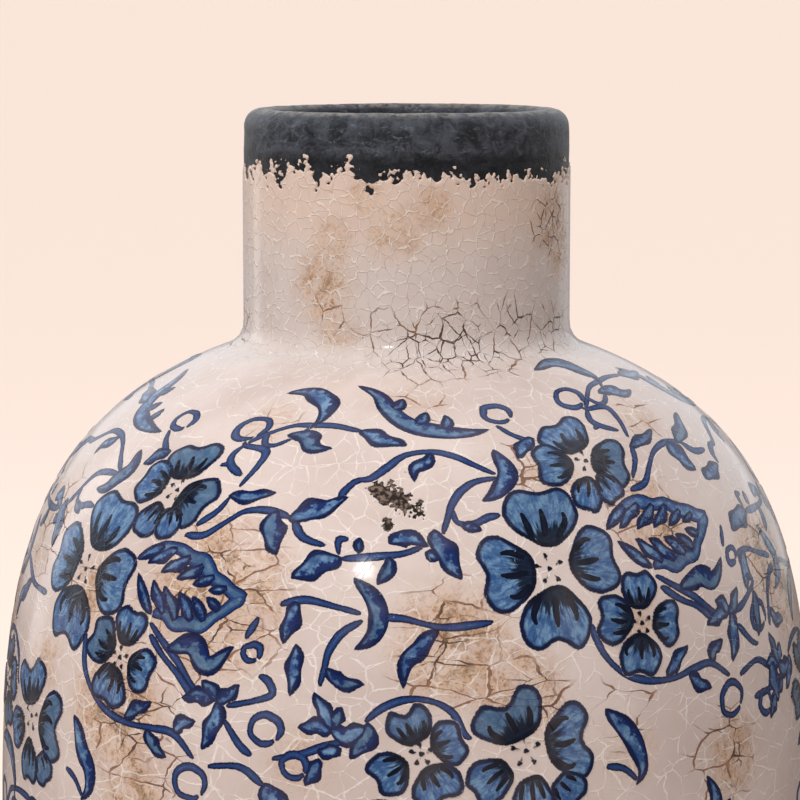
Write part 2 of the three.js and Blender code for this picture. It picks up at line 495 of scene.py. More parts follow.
def closed_sheet(front, back, triangles):
    """A mesh with a front, a back and walls along the open edges between them."""
    count = len(front)
    sides = {}
    for a, b, c in triangles:
        for edge in ((a, b), (b, c), (c, a)):
            sides[edge] = True
    faces = list(triangles) + [(c + count, b + count, a + count) for a, b, c in triangles]
    for a, b in sides:
        if (b, a) not in sides:
            faces.append((a, a + count, b + count, b)[::-1])
    mesh = bpy.data.meshes.new("sheet")
    mesh.from_pydata(np.vstack([front, back]).tolist(), [], faces)
    return mesh


# ---------------------------------------------------------------------------------------------
# Shader graphs
# ---------------------------------------------------------------------------------------------


# The share of a soft spot's reach inside which it is at full strength.
SPOT_CORE = 0.25


class Shades:
    """A node tree with short calls for the nodes that this vase's finishes use."""

    def __init__(self, tree):
        self.tree = tree

    def node(self, kind, inputs=(), **settings):
        """A new node. Inputs are fed by their names or numbers."""
        node = self.tree.nodes.new("ShaderNode" + kind)
        for name, value in settings.items():
            setattr(node, name, value)
        for name, value in dict(inputs).items():
            self.feed(node.inputs[name], value)
        return node

    def feed(self, socket, value):
        if isinstance(value, bpy.types.NodeSocket):
            self.tree.links.new(value, socket)
        else:
            socket.default_value = value

    def math(self, operation, first, second=0.0):
        return self.node("Math", {0: first, 1: second}, operation=operation).outputs[0]

    def add(self, first, second):
        return self.math("ADD", first, second)

    def times(self, first, second):
        return self.math("MULTIPLY", first, second)

    def most(self, first, second):
        return self.math("MAXIMUM", first, second)

    def step(self, value, low, high, to_low=0.0, to_high=1.0):
        """Eases from one value to another as a value goes from low to high."""
        inputs = {"Value": value, "From Min": low, "From Max": high}
        inputs.update({"To Min": to_low, "To Max": to_high})
        node = self.node("MapRange", inputs, interpolation_type="SMOOTHSTEP", clamp=True)
        return node.outputs[0]

    def blend(self, share, first, second):
        """Mixes two colours; a share of 1 is all of the second."""
        node = self.node("Mix", data_type="RGBA")
        for socket, value in ((0, share), (6, first), (7, second)):
            self.feed(node.inputs[socket], value)
        return node.outputs[2]

    def place(self):
        """The place on the vase, in millimetres."""
        here = self.node("TexCoord").outputs["Object"]
        return self.scaled(here, 1 / MM)

    def parts(self, vector):
        """The X, Y and Z of a vector, by name."""
        return self.node("SeparateXYZ", {0: vector}).outputs

    def attribute(self, name, output):
        """A value that a piece's own points carry."""
        return self.node("Attribute", attribute_name=name).outputs[output]

    def scaled(self, vector, scale):
        node = self.node("VectorMath", {0: vector, "Scale": scale}, operation="SCALE")
        return node.outputs[0]

    def moved(self, vector, offset):
        return self.node("VectorMath", {0: vector, 1: offset}, operation="ADD").outputs[0]

    def stretched(self, vector, shares):
        return self.node("VectorMath", {0: vector, 1: shares}, operation="MULTIPLY").outputs[0]

    def noise(self, place, size, detail=3.0, roughness=0.5, distortion=0.0):
        """Noise from 0 to 1 in waves of a size in millimetres."""
        inputs = {
            "Vector": place,
            "Scale": 1 / size,
            "Detail": detail,
            "Roughness": roughness,
            "Distortion": distortion,
        }
        return self.node("TexNoise", inputs).outputs["Fac"]

    def warped(self, place, size, amount):
        """The place, pushed about by noise, in millimetres."""
        inputs = {"Vector": place, "Scale": 1 / size, "Detail": 2.0}
        push = self.node("TexNoise", inputs).outputs["Color"]
        push = self.moved(push, (-0.5, -0.5, -0.5))
        push = self.scaled(push, 2 * amount)
        return self.moved(place, push)

    def cracks(self, place, size):
        """Distance to the nearest crack between cells of a size, in millimetres."""
        inputs = {"Vector": place, "Scale": 1 / size, "Randomness": 1.0}
        node = self.node("TexVoronoi", inputs, feature="DISTANCE_TO_EDGE", voronoi_dimensions="2D")
        return self.times(node.outputs["Distance"], size)

    def spots(self, place, rows):
        """Soft spots, each at a turn and rise with a reach in millimetres and a strength."""
        total = None
        for turn, rise, reach, strength in rows:
            centre = tuple(on_wall(turn, rise) / MM)
            gap = self.node("VectorMath", {0: place, 1: centre}, operation="DISTANCE")
            spot = self.step(gap.outputs["Value"], reach, reach * SPOT_CORE, 0.0, strength)
            total = spot if total is None else self.most(total, spot)
        return total


def shade_group(name, build, outputs):
    """A node group that is built once. Each output is a name and a kind of socket."""
    tree = bpy.data.node_groups.new(name, "ShaderNodeTree")
    for label, kind in outputs:
        tree.interface.new_socket(label, in_out="OUTPUT", socket_type="NodeSocket" + kind)
    result = tree.nodes.new("NodeGroupOutput")
    for label, value in build(Shades(tree)).items():
        tree.links.new(value, result.inputs[label])
    return tree


def use_group(shades, tree):
    node = shades.tree.nodes.new("ShaderNodeGroup")
    node.node_tree = tree
    return node.outputs


def srgb(code):
    """A colour for a shader from its usual six-figure code."""
    parts = [int(code[i : i + 2], 16) / 255 for i in (0, 2, 4)]
    linear = [p / 12.92 if p <= 0.04045 else ((p + 0.055) / 1.055) ** 2.4 for p in parts]
    return (*linear, 1.0)


def new_material(name):
    """An empty material: itself, its node tree's helper and its surface shader."""
    material = bpy.data.materials.new(name)
    material.use_nodes = True
    material.node_tree.nodes.clear()
    shades = Shades(material.node_tree)
    surface = shades.node("BsdfPrincipled")
    output = shades.node("OutputMaterial")
    material.node_tree.links.new(surface.outputs[0], output.inputs["Surface"])
    return material, shades, surface


def dress(shades, surface, colour, roughness, height):
    """Feeds a colour, a roughness and a height in millimetres to a surface."""
    shades.feed(surface.inputs["Base Color"], colour)
    shades.feed(surface.inputs["Roughness"], roughness)
    metres = shades.times(height, MM)
    bump = shades.node("Bump", {"Height": metres, "Distance": 1.0, "Strength": 1.0})
    shades.feed(surface.inputs["Normal"], bump.outputs["Normal"])


# ---------------------------------------------------------------------------------------------
# Finishes
# ---------------------------------------------------------------------------------------------

# In the recipes below sizes and heights are in millimetres, and the other numbers are shares.

# Turn, rise, reach and strength of the tea-brown stains, and of the patches of dirty cracks.
STAINS = [
    (-30, 190, 13, 0.9), (-26, 203, 9, 0.8), (-24, 180, 10, 0.5), (-4, 204, 10, 0.6),
    (8, 211, 8, 0.7), (-14, 214, 8, 0.4), (60, 207, 12, 1.0), (68, 198, 11, 0.9),
    (-28, 90, 30, 1.0), (-42, 58, 24, 0.95), (-50, 84, 16, 0.8),
    (-38, 40, 17, 0.9), (-60, 64, 14, 0.6), (6, 80, 21, 0.95), (14, 68, 17, 0.85),
    (24, 122, 11, 0.6), (40, 108, 16, 0.9), (32, 84, 12, 0.5), (49, 44, 15, 0.8),
    (30, 50, 12, 0.35), (66, 92, 20, 1.0), (71, 78, 17, 1.0), (-72, 100, 20, 0.6),
    (-14, 50, 12, 0.5), (-28, 140, 12, 0.4), (52, 140, 12, 0.45), (2, 150, 12, 0.3),
    (100, 60, 26, 0.8), (118, 118, 20, 0.8), (140, 190, 13, 0.8), (150, 20, 28, 0.8),
    (170, 96, 22, 0.85), (195, 204, 12, 0.8), (205, 55, 26, 0.8), (228, 112, 22, 0.8),
    (250, 20, 24, 0.8), (262, 196, 12, 0.7), (275, 75, 22, 0.7), (96, 205, 12, 0.7),
    (-20, -10, 24, 0.8), (30, -40, 22, 0.8), (75, -25, 22, 0.8), (120, -60, 24, 0.8),
    (185, -35, 26, 0.8), (230, -70, 22, 0.8), (290, -50, 24, 0.8), (335, -80, 20, 0.8),
]
DIRTY_CRACKS = [
    (5, 170, 18, 1.0), (16, 176, 17, 1.0), (27, 171, 16, 1.0), (48, 174, 15, 1.0),
    (60, 178, 12, 0.9), (-10, 178, 11, 0.6), (38, 180, 12, 0.8), (60, 205, 15, 1.0),
    (-28, 182, 10, 0.5), (66, 90, 20, 1.0), (-28, 88, 32, 0.85), (-38, 58, 28, 0.8),
    (-52, 84, 20, 0.7), (6, 80, 24, 0.85), (16, 66, 18, 0.75), (40, 108, 20, 0.8),
    (47, 45, 22, 0.8), (30, 60, 16, 0.55), (-70, 100, 24, 0.6), (22, 124, 18, 0.65),
    (-34, 36, 20, 0.7), (2, 148, 14, 0.5), (-28, 140, 14, 0.45), (52, 138, 16, 0.6),
    (95, 172, 16, 0.9), (130, 178, 14, 0.8), (165, 172, 18, 0.9), (200, 176, 14, 0.8),
    (240, 172, 16, 0.9), (280, 176, 14, 0.8), (100, 60, 32, 0.85), (118, 118, 22, 0.8),
    (170, 96, 30, 0.85), (205, 55, 32, 0.8), (228, 112, 28, 0.8), (275, 75, 28, 0.75),
    (150, 20, 34, 0.85), (-20, -10, 30, 0.8), (30, -40, 30, 0.8), (120, -60, 30, 0.85),
    (185, -35, 32, 0.8), (230, -70, 30, 0.85), (290, -50, 30, 0.8), (335, -80, 28, 0.85),
    (75, -25, 28, 0.8),
]

# The glaze: its body, its stains, its fine pale cracks, which on the neck are also a painted
# highlight on their raised ridges, its dirty cracks, and its chip with a painted glint round its
# edge.
NECK_TAN = srgb("d9c0b0")
NECK_GREY = srgb("cfc1ba")
BODY_PALE = srgb("d6c5bd")
BODY_WARM = srgb("c9b7af")
BODY_MOTTLE = srgb("c2aa9c")
STAIN_PALE = srgb("c8a07a")
STAIN_TAN = srgb("b08058")
STAIN_DEEP = srgb("7d6448")
STAIN_FLECK = srgb("85603f")
FRECKLE = srgb("8a6448")
CRACK_PALE_AND_HIGHLIGHT = srgb("f0e6df")
CRACK_BROWN = srgb("8a5f45")
CRACK_DARK = srgb("4a2f22")
# Painted highlight: the white glints along the chip's broken edge.
PAINTED_GLINT_WHITE = srgb("fbf6f2")
PIT_DARK = srgb("2c211d")
PIT_TAN = srgb("7d6a5e")

# Cobalt: the wash inside a mark, its shaded side, its outline, and a petal's dark root.
WASH = srgb("375986")
WASH_PALE = srgb("7090ae")
WASH_POOL = srgb("234578")
WASH_AGED = srgb("475f74")
WASH_SHADE = srgb("10265a")
OUTLINE_SOFT = srgb("203a6c")
OUTLINE_SHADE = srgb("0b1a46")
OUTLINE_EDGE = srgb("091538")
VINE_BLUE = srgb("0a1637")
ROOT_BLACK = srgb("060c1c")

# The rim's slip, the bare clay and the liner.
SLIP_DARK = srgb("25262a")
SLIP_GREY = srgb("4b4e56")
SLIP_SCUFF = srgb("7a7e88")
SLIP_EDGE = srgb("161518")
SLIP_WORN_AND_HIGHLIT = srgb("8a8178")
CLAY_DARK = srgb("3b2c24")
CLAY_BROWN = srgb("5b4638")
CLAY_GRIT = srgb("8a715c")
LINER_DARK = srgb("332b27")
LINER_BROWN = srgb("564a42")
LINER_RING = srgb("6c5d52")

# Depths below the lip at which the neck's tan starts and is full, at which the rim's darkest band
# starts and is full, and at which the lightened crest, partly wear and partly a painted highlight,
# starts and is full.
TAN_START = 46
TAN_FULL = 22
SLIP_EDGE_START = 9
SLIP_EDGE_FULL = 13
CREST_START = 1.6
CREST_FULL = 0.2

SHOULDER_SHARE = 0.42
BODY_NET_RADIUS = 88
NECK_NET_NEAR = 4
NECK_NET_FAR = 14
GLAZE_IOR = 1.5


def build_wall_place(shades):
    """Millimetres round the wall and up it, for patterns that lie flat on the glaze."""
    here = shades.place()
    parts = shades.parts(here)
    angle = shades.math("ARCTAN2", parts["X"], shades.times(parts["Y"], -1.0))
    flat = shades.node("CombineXYZ", {"X": parts["X"], "Y": parts["Y"]}).outputs[0]
    radius = shades.node("VectorMath", {0: flat}, operation="LENGTH").outputs["Value"]
    inward = shades.math("SUBTRACT", BODY_RADIUS, radius)
    up = shades.add(parts["Z"], shades.times(inward, SHOULDER_SHARE))
    on_neck = shades.step(radius, NECK_RADIUS + NECK_NET_FAR, NECK_RADIUS + NECK_NET_NEAR)
    neck = shades.node("CombineXYZ", {"X": shades.times(angle, NECK_RADIUS), "Y": up})
    body = shades.node("CombineXYZ", {"X": shades.times(angle, BODY_NET_RADIUS), "Y": up})
    return {"Neck": neck.outputs[0], "Body": body.outputs[0], "On neck": on_neck}


def crack_lines(shades, place, size, width, seed, wander=0.22):
    """Crack lines of a width, in cells of a size; they wander, swell and break off."""
    place = shades.moved(place, (seed, -2.3 * seed, 0.0))
    place = shades.warped(place, size * 0.9, size * wander)
    place = shades.warped(place, size * 0.2, size * 0.035)
    swell = shades.noise(place, size * 0.6, 2.0)
    gap = shades.cracks(place, size)
    half = shades.step(swell, 0.34, 0.62, 0.0, width / 2)
    inside = shades.math("SUBTRACT", half, gap)
    return shades.step(inside, -0.09, 0.05)


def crack_web(shades, place, size, line, seed):
    """Dirty cracks in a loose web, longer round the pot than up it, some of them healed."""
    place = shades.moved(place, (seed, 3.1 * seed, 0.0))
    place = shades.stretched(place, (0.66, 1.0, 1.0))
    place = shades.warped(place, size * 0.8, size * 0.2)
    place = shades.warped(place, size * 0.24, size * 0.06)
    gap = shades.cracks(place, size)
    swell = shades.noise(place, size * 0.7, 2.0)
    half = shades.step(swell, 0.36, 0.6, 0.0, line / 2)
    return shades.step(shades.math("SUBTRACT", half, gap), -0.05, 0.03)


def build_crackle_glaze(shades):
    """Aged cream glaze: its colour, roughness and relief, with stains, cracks and the chip."""
    here = shades.place()
    height = shades.parts(here)["Z"]
    wall = use_group(shades, WALL_PLACE)
    on_neck = wall["On neck"]

    broad = shades.noise(here, 38, 2.0)
    mottle = shades.noise(here, 7, 5.0, 0.62)
    fine = shades.noise(here, 1.1, 3.0, 0.6)
    body = shades.blend(shades.step(broad, 0.35, 0.7), BODY_PALE, BODY_WARM)
    under_rim = shades.step(height, HEIGHT - TAN_START, HEIGHT - TAN_FULL)
    neck = shades.blend(under_rim, NECK_GREY, NECK_TAN)
    glaze = shades.blend(on_neck, body, neck)
    glaze = shades.blend(shades.step(mottle, 0.35, 0.75, 0.0, 0.3), glaze, BODY_MOTTLE)

    spots = shades.spots(here, STAINS)
    cloud = shades.step(shades.noise(here, 9, 6.0, 0.7, 0.8), 0.4, 0.6)
    specks = shades.step(shades.noise(here, 1.6, 4.0, 0.7), 0.38, 0.62)
    soak = shades.times(spots, shades.add(shades.times(cloud, 0.62), 0.38))
    stain = shades.times(soak, shades.step(specks, 0.0, 1.0, 0.7, 1.0))
    tan = shades.blend(shades.step(mottle, 0.4, 0.7), STAIN_PALE, STAIN_TAN)
    tan = shades.blend(shades.step(soak, 0.72, 0.95, 0.0, 0.75), tan, STAIN_DEEP)
    glaze = shades.blend(stain, glaze, tan)
    flecks = shades.step(shades.noise(here, 1.1, 4.0, 0.75, 0.5), 0.51, 0.58, 0.0, 0.8)
    glaze = shades.blend(shades.times(flecks, soak), glaze, STAIN_FLECK)

    net = crack_lines(shades, wall["Body"], 11.0, 0.44, 7.0)
    small_net = crack_lines(shades, wall["Body"], 6.0, 0.4, 31.0)
    neck_net = crack_lines(shades, wall["Neck"], 3.5, 0.46, 3.0, 0.4)
    shown = shades.step(shades.noise(here, 19, 2.0), 0.38, 0.52)
    body_net = shades.most(net, shades.times(small_net, shown))
    pale = shades.blend(on_neck, body_net, neck_net)
    # Pale crack lines: on the body the glaze's own pale colour; on the neck partly a painted
    # highlight, whitened as the lit side of raised ridges would be.
    pale_lines_and_ridge_highlight = shades.times(pale, shades.step(fine, 0.25, 0.6, 0.25, 0.7))
    pale_lines_and_ridge_highlight = shades.times(pale_lines_and_ridge_highlight, shades.step(on_neck, 0.0, 1.0, 0.8, 0.7))
    glaze = shades.blend(pale_lines_and_ridge_highlight, glaze, CRACK_PALE_AND_HIGHLIGHT)
    freckles = shades.step(shades.noise(here, 1.3, 2.0, 0.6), 0.74, 0.78, 0.0, 0.55)
    glaze = shades.blend(freckles, glaze, FRECKLE)

    dirt_spots = shades.spots(here, DIRTY_CRACKS)
    patchy = shades.step(shades.noise(here, 10, 3.0, 0.6), 0.36, 0.58)
    dirty = shades.times(dirt_spots, shades.add(shades.times(patchy, 0.6), 0.4))
    wide_cracks = crack_web(shades, wall["Body"], 7.6, 0.44, 53.0)
    short_cracks = crack_web(shades, wall["Body"], 5.2, 0.36, 71.0)
    short_cracks = shades.times(short_cracks, shades.step(dirty, 0.45, 0.85))
    dark_net = shades.most(wide_cracks, short_cracks)
    dark = shades.times(dark_net, shades.step(dirty, 0.08, 0.42, 0.0, 0.95))
    brown = shades.blend(shades.step(dirty, 0.5, 0.9), CRACK_BROWN, CRACK_DARK)
    glaze = shades.blend(dark, glaze, brown)

    chip = shades.attribute("chip", "Fac")
    # A painted highlight: a white ring round the edge of the chip stands for glints off the broken
    # glaze.
    painted_chip_glint = shades.step(chip, 0.02, 0.2)
    chip = shades.step(chip, 0.3, 0.5)
    depth = shades.noise(here, 1.2, 3.0)
    pit = shades.blend(shades.step(depth, 0.42, 0.62), PIT_DARK, PIT_TAN)
    glaze = shades.blend(shades.times(painted_chip_glint, 0.6), glaze, PAINTED_GLINT_WHITE)
    glaze = shades.blend(chip, glaze, pit)

    ridge = shades.times(pale, shades.step(on_neck, 0.0, 1.0, 0.05, 0.14))
    groove = shades.times(dark, -0.14)
    waves = shades.times(shades.noise(here, 24, 1.0), 0.45)
    hollow = shades.times(chip, shades.times(depth, -0.6))
    relief = shades.add(shades.add(ridge, groove), shades.add(waves, hollow))
    rough = shades.step(fine, 0.2, 0.8, 0.08, 0.17)
    rough = shades.most(rough, shades.times(dark, 0.5))
    rough = shades.most(rough, shades.times(stain, 0.32))
    rough = shades.most(rough, shades.times(chip, 0.85))
    return {"Color": glaze, "Roughness": rough, "Height": relief}


def crackle_glaze():
    """The cream glaze of the coat and of its ragged edge."""
    material, shades, surface = new_material("crackle glaze")
    look = use_group(shades, GLAZE_LOOK)
    dress(shades, surface, look["Color"], look["Roughness"], look["Height"])
    surface.inputs["IOR"].default_value = GLAZE_IOR
    return material


def rim_slip():
    """Dark burnished slip, scuffed grey-blue, and lightened to grey-tan along the lip by wear and a
    painted highlight.
    """
    material, shades, surface = new_material("dark rim slip")
    here = shades.place()
    height = shades.parts(here)["Z"]
    cloud = shades.noise(here, 5, 8.0, 0.74, 0.5)
    fine = shades.noise(here, 0.8, 4.0, 0.7)
    brushed = shades.noise(shades.stretched(here, (1.0, 1.0, 2.6)), 5, 6.0, 0.72, 1.2)
    colour = shades.blend(shades.step(cloud, 0.38, 0.64), SLIP_DARK, SLIP_GREY)
    scuffs = shades.times(shades.step(brushed, 0.5, 0.68), shades.step(fine, 0.36, 0.64))
    colour = shades.blend(shades.times(scuffs, 0.6), colour, SLIP_SCUFF)
    near_edge = shades.step(height, HEIGHT - SLIP_EDGE_START, HEIGHT - SLIP_EDGE_FULL)
    colour = shades.blend(shades.times(near_edge, 0.75), colour, SLIP_EDGE)
    # Wear and painted highlight: the lip's crest is lightened where it turns, partly worn and partly
    # standing for a highlight.
    crest = shades.step(height, HEIGHT - CREST_START, HEIGHT - CREST_FULL)
    worn = shades.times(crest, shades.step(shades.noise(here, 2.6, 6.0, 0.75), 0.42, 0.58))
    colour = shades.blend(shades.times(worn, 0.75), colour, SLIP_WORN_AND_HIGHLIT)
    rough = shades.step(cloud, 0.3, 0.75, 0.3, 0.5)
    relief = shades.add(shades.times(cloud, 0.5), shades.times(fine, 0.1))
    dress(shades, surface, colour, rough, relief)
    surface.inputs["Specular IOR Level"].default_value = 0.35
    return material


def dark_clay():
    """Bare dark clay, gritty, with faint rings from the wheel."""
    material, shades, surface = new_material("dark clay")
    here = shades.place()
    cloud = shades.noise(here, 9, 5.0, 0.6)
    grit = shades.noise(here, 0.7, 4.0, 0.7)
    rings = shades.noise(shades.stretched(here, (0.05, 0.05, 1.0)), 1.6, 2.0)
    colour = shades.blend(shades.step(cloud, 0.3, 0.7), CLAY_DARK, CLAY_BROWN)
    colour = shades.blend(shades.step(grit, 0.6, 0.75, 0.0, 0.5), colour, CLAY_GRIT)
    relief = shades.add(shades.times(grit, 0.25), shades.times(rings, 0.2))
    dress(shades, surface, colour, shades.step(grit, 0.2, 0.8, 0.7, 0.9), relief)
    return material


def liner_glaze():
    """Thin brown glaze inside, ringed by the wheel."""
    material, shades, surface = new_material("liner glaze")
    here = shades.place()
    cloud = shades.noise(here, 12, 4.0, 0.6)
    rings = shades.noise(shades.stretched(here, (0.04, 0.04, 1.0)), 3.5, 2.0)
    colour = shades.blend(shades.step(cloud, 0.3, 0.7), LINER_DARK, LINER_BROWN)
    colour = shades.blend(shades.step(rings, 0.45, 0.7, 0.0, 0.35), colour, LINER_RING)
    relief = shades.add(shades.times(rings, 0.5), shades.times(cloud, 0.3))
    dress(shades, surface, colour, shades.step(cloud, 0.3, 0.7, 0.25, 0.45), relief)
    return material


def cobalt_under_glaze():
    """Watery cobalt under the same crackled glaze: dark at its edges and roots, pale between."""
    material, shades, surface = new_material("cobalt under glaze")
    look = use_group(shades, GLAZE_LOOK)
    here = shades.place()
    brush = shades.attribute("brush", "Vector")
    across = shades.parts(brush)["Y"]
    mark = shades.parts(shades.attribute("mark", "Vector"))
    edge, root, shaded = mark["X"], mark["Y"], mark["Z"]
    streak = shades.noise(shades.stretched(brush, (0.22, 1.0, 1.0)), 0.85, 3.0, 0.6, 0.4)
    pool = shades.noise(here, 2.8, 4.0, 0.65)
    fray = shades.noise(here, 0.6, 3.0, 0.6)
    fading = shades.noise(here, 17, 3.0, 0.55)

    wash = shades.blend(shades.step(streak, 0.34, 0.66), WASH, WASH_PALE)
    wash = shades.blend(shades.step(pool, 0.42, 0.62, 0.0, 0.75), wash, WASH_POOL)
    seed = shades.parts(brush)["Z"]
    aged = shades.step(shades.math("FRACT", seed), 0.6, 0.75, 0.0, 0.6)
    wash = shades.blend(aged, wash, WASH_AGED)
    side = shades.add(across, shades.times(shades.add(pool, -0.5), 3.0))
    wash = shades.blend(shades.times(shades.step(side, 0.0, 0.35), shaded), wash, WASH_SHADE)
    bite = shades.add(edge, shades.times(shades.add(fray, -0.5), 0.7))
    outline = shades.step(bite, 1.7, 1.0)
    thick = shades.blend(shaded, OUTLINE_SOFT, OUTLINE_SHADE)
    line_tone = shades.blend(shades.step(bite, 0.4, 0.85), OUTLINE_EDGE, thick)
    line_tone = shades.blend(shades.step(root, 1.6, 1.3), line_tone, VINE_BLUE)
    blue = shades.blend(outline, wash, line_tone)
    rooted = shades.add(root, shades.times(shades.add(streak, -0.5), 0.6))
    blotch = shades.step(rooted, 0.58, 0.42)
    blue = shades.blend(shades.times(blotch, 0.93), blue, ROOT_BLACK)
    cover = shades.step(bite, 0.0, 0.26)
    thin = shades.step(fading, 0.3, 0.6, 0.93, 1.0)
    colour = shades.blend(shades.times(cover, thin), look["Color"], blue)
    dress(shades, surface, colour, look["Roughness"], look["Height"])
    surface.inputs["IOR"].default_value = GLAZE_IOR
    return material


WALL_PLACE = shade_group(
    "place on the wall",
    build_wall_place,
    outputs=[("Neck", "Vector"), ("Body", "Vector"), ("On neck", "Float")],
)
GLAZE_LOOK = shade_group(
    "crackle glaze look",
    build_crackle_glaze,
    outputs=[("Color", "Color"), ("Roughness", "Float"), ("Height", "Float")],
)
CLAY = dark_clay()
SLIP_FINISH = rim_slip()
GLAZE_FINISH = crackle_glaze()
LINER_FINISH = liner_glaze()
PAINT = cobalt_under_glaze()


# ---------------------------------------------------------------------------------------------
# The painted sprays. One spray is drawn flat, x to the right and y up, in millimetres from the
# middle of its big flower, and is repeated round the wall.
# ---------------------------------------------------------------------------------------------

# Each flower: its middle, the size of its eye, and its petals as a middle, length, breadth and
# depth of the notch at the tip.
FLOWERS = [
    (0, -2, 3.6, [(2, 12, 17, 21, 0.1), (-11.5, -1.5, 16, 20, 0.16), (-1, -15, 17.5, 20, 0.2),
                  (13, -2, 15, 18.5, 0.1)]),
    (20, 25, 3.0, [(17.5, 34, 13, 17, 0.16), (10, 25.5, 12, 14, 0.1), (27.5, 23, 13, 16, 0.14),
                   (16.5, 15.5, 11, 10, 0.05), (23.5, 16, 10, 9, 0.05)]),
    (23, -20, 2.6, [(24, -11.5, 11, 12, 0.12), (15, -17.5, 12, 13.5, 0.14),
                    (31, -21.5, 10, 12.5, 0.1), (21, -28, 12, 14, 0.14)]),
    (-14, -45.5, 3.6, [(-17, -36.5, 14, 20, 0.3), (-2, -45, 14, 20, 0.26), (-4, -57, 10, 11, 0.1),
                       (-13.5, -58, 13, 12, 0.12), (-24, -51.5, 13, 12, 0.12)]),
    (-40, -43, 2.6, [(-42, -35.5, 11, 12.5, 0.26), (-33, -41, 9.5, 12.5, 0.1),
                     (-48.5, -47, 11, 12, 0.14), (-37, -51, 11, 14, 0.14)]),
]

# Thin vines, each along its own points.
VINES = [
    [(-48, 21), (-46, 24), (-42, 26.5), (-38, 27), (-33, 30), (-27, 33.5), (-20, 34), (-15, 32),
     (-10, 28), (-6, 25)],
    [(-6, 24), (-12, 23.5), (-17, 21.5), (-20, 18), (-22, 15), (-25, 10)],
    [(-20.5, 17), (-20, 13), (-16, 12), (-12, 13.5), (-8.5, 13.5)],
    [(-30, 7.5), (-36, 6.5), (-42, 6), (-52, 6)],
    [(-52, 7), (-51, 11), (-48, 11)],
    [(-49, -7.5), (-56, -5.5), (-63, -3.5), (-70, -4.5)],
    [(-49, -9.5), (-55, -12), (-59, -16), (-61, -20), (-63, -25)],
    [(-45, -9), (-39, -10), (-33, -12), (-28, -13), (-17, -13)],
    [(-53, -34), (-48, -31), (-42, -29.5), (-36, -30.5), (-31, -34), (-29, -39), (-27, -41)],
    [(-57, -38), (-64, -39.5), (-70, -41), (-78, -42)],
    [(0, 41), (3, 37), (7, 34)],
    [(28, 43), (29, 41.5), (36, 41), (38, 36), (37.5, 29)],
    [(31, 47), (34, 43), (37, 43), (40, 46)],
    [(29, 42), (32, 46), (36, 50), (41, 51), (47, 51.5), (55, 50.5)],
    [(41, 51), (41, 47)],
    [(29, 42), (28, 38), (30, 35), (36, 32)],
    [(27, 34.5), (30, 35)],
    [(37, 27), (36, 22), (32, 17)],
    [(30, 14), (36, 15), (40, 19), (44, 23), (50, 24.5), (57, 23.5)],
    [(58, 23), (63, 19), (70, 17.5)],
    [(30, -9), (36, -13), (42, -17), (48, -22), (52, -25)],
    [(31, -12), (37, -16.5), (43, -20), (49, -25)],
    [(58, -25), (62, -24), (67, -22), (70, -20), (68, -17), (65, -16)],
    [(58, -28), (64, -34), (68, -36)],
    [(61, -2), (59, -8)],
    [(8, -17), (10, -25), (15, -31), (22, -34.5), (30, -35.5), (38, -35), (45, -35), (52, -40)],
    [(56, -41), (65, -39.5), (72, -43)],
    [(7, -53), (12, -55), (16, -59)],
]

# Closed curls of a vine: middle and radius.
CURLS = [
    (2, 45, 3.7), (26, 47, 4.4), (70, -29, 4), (62, -11, 2.3), (51.5, -46, 4.5), (-72, -44, 3.2),
]

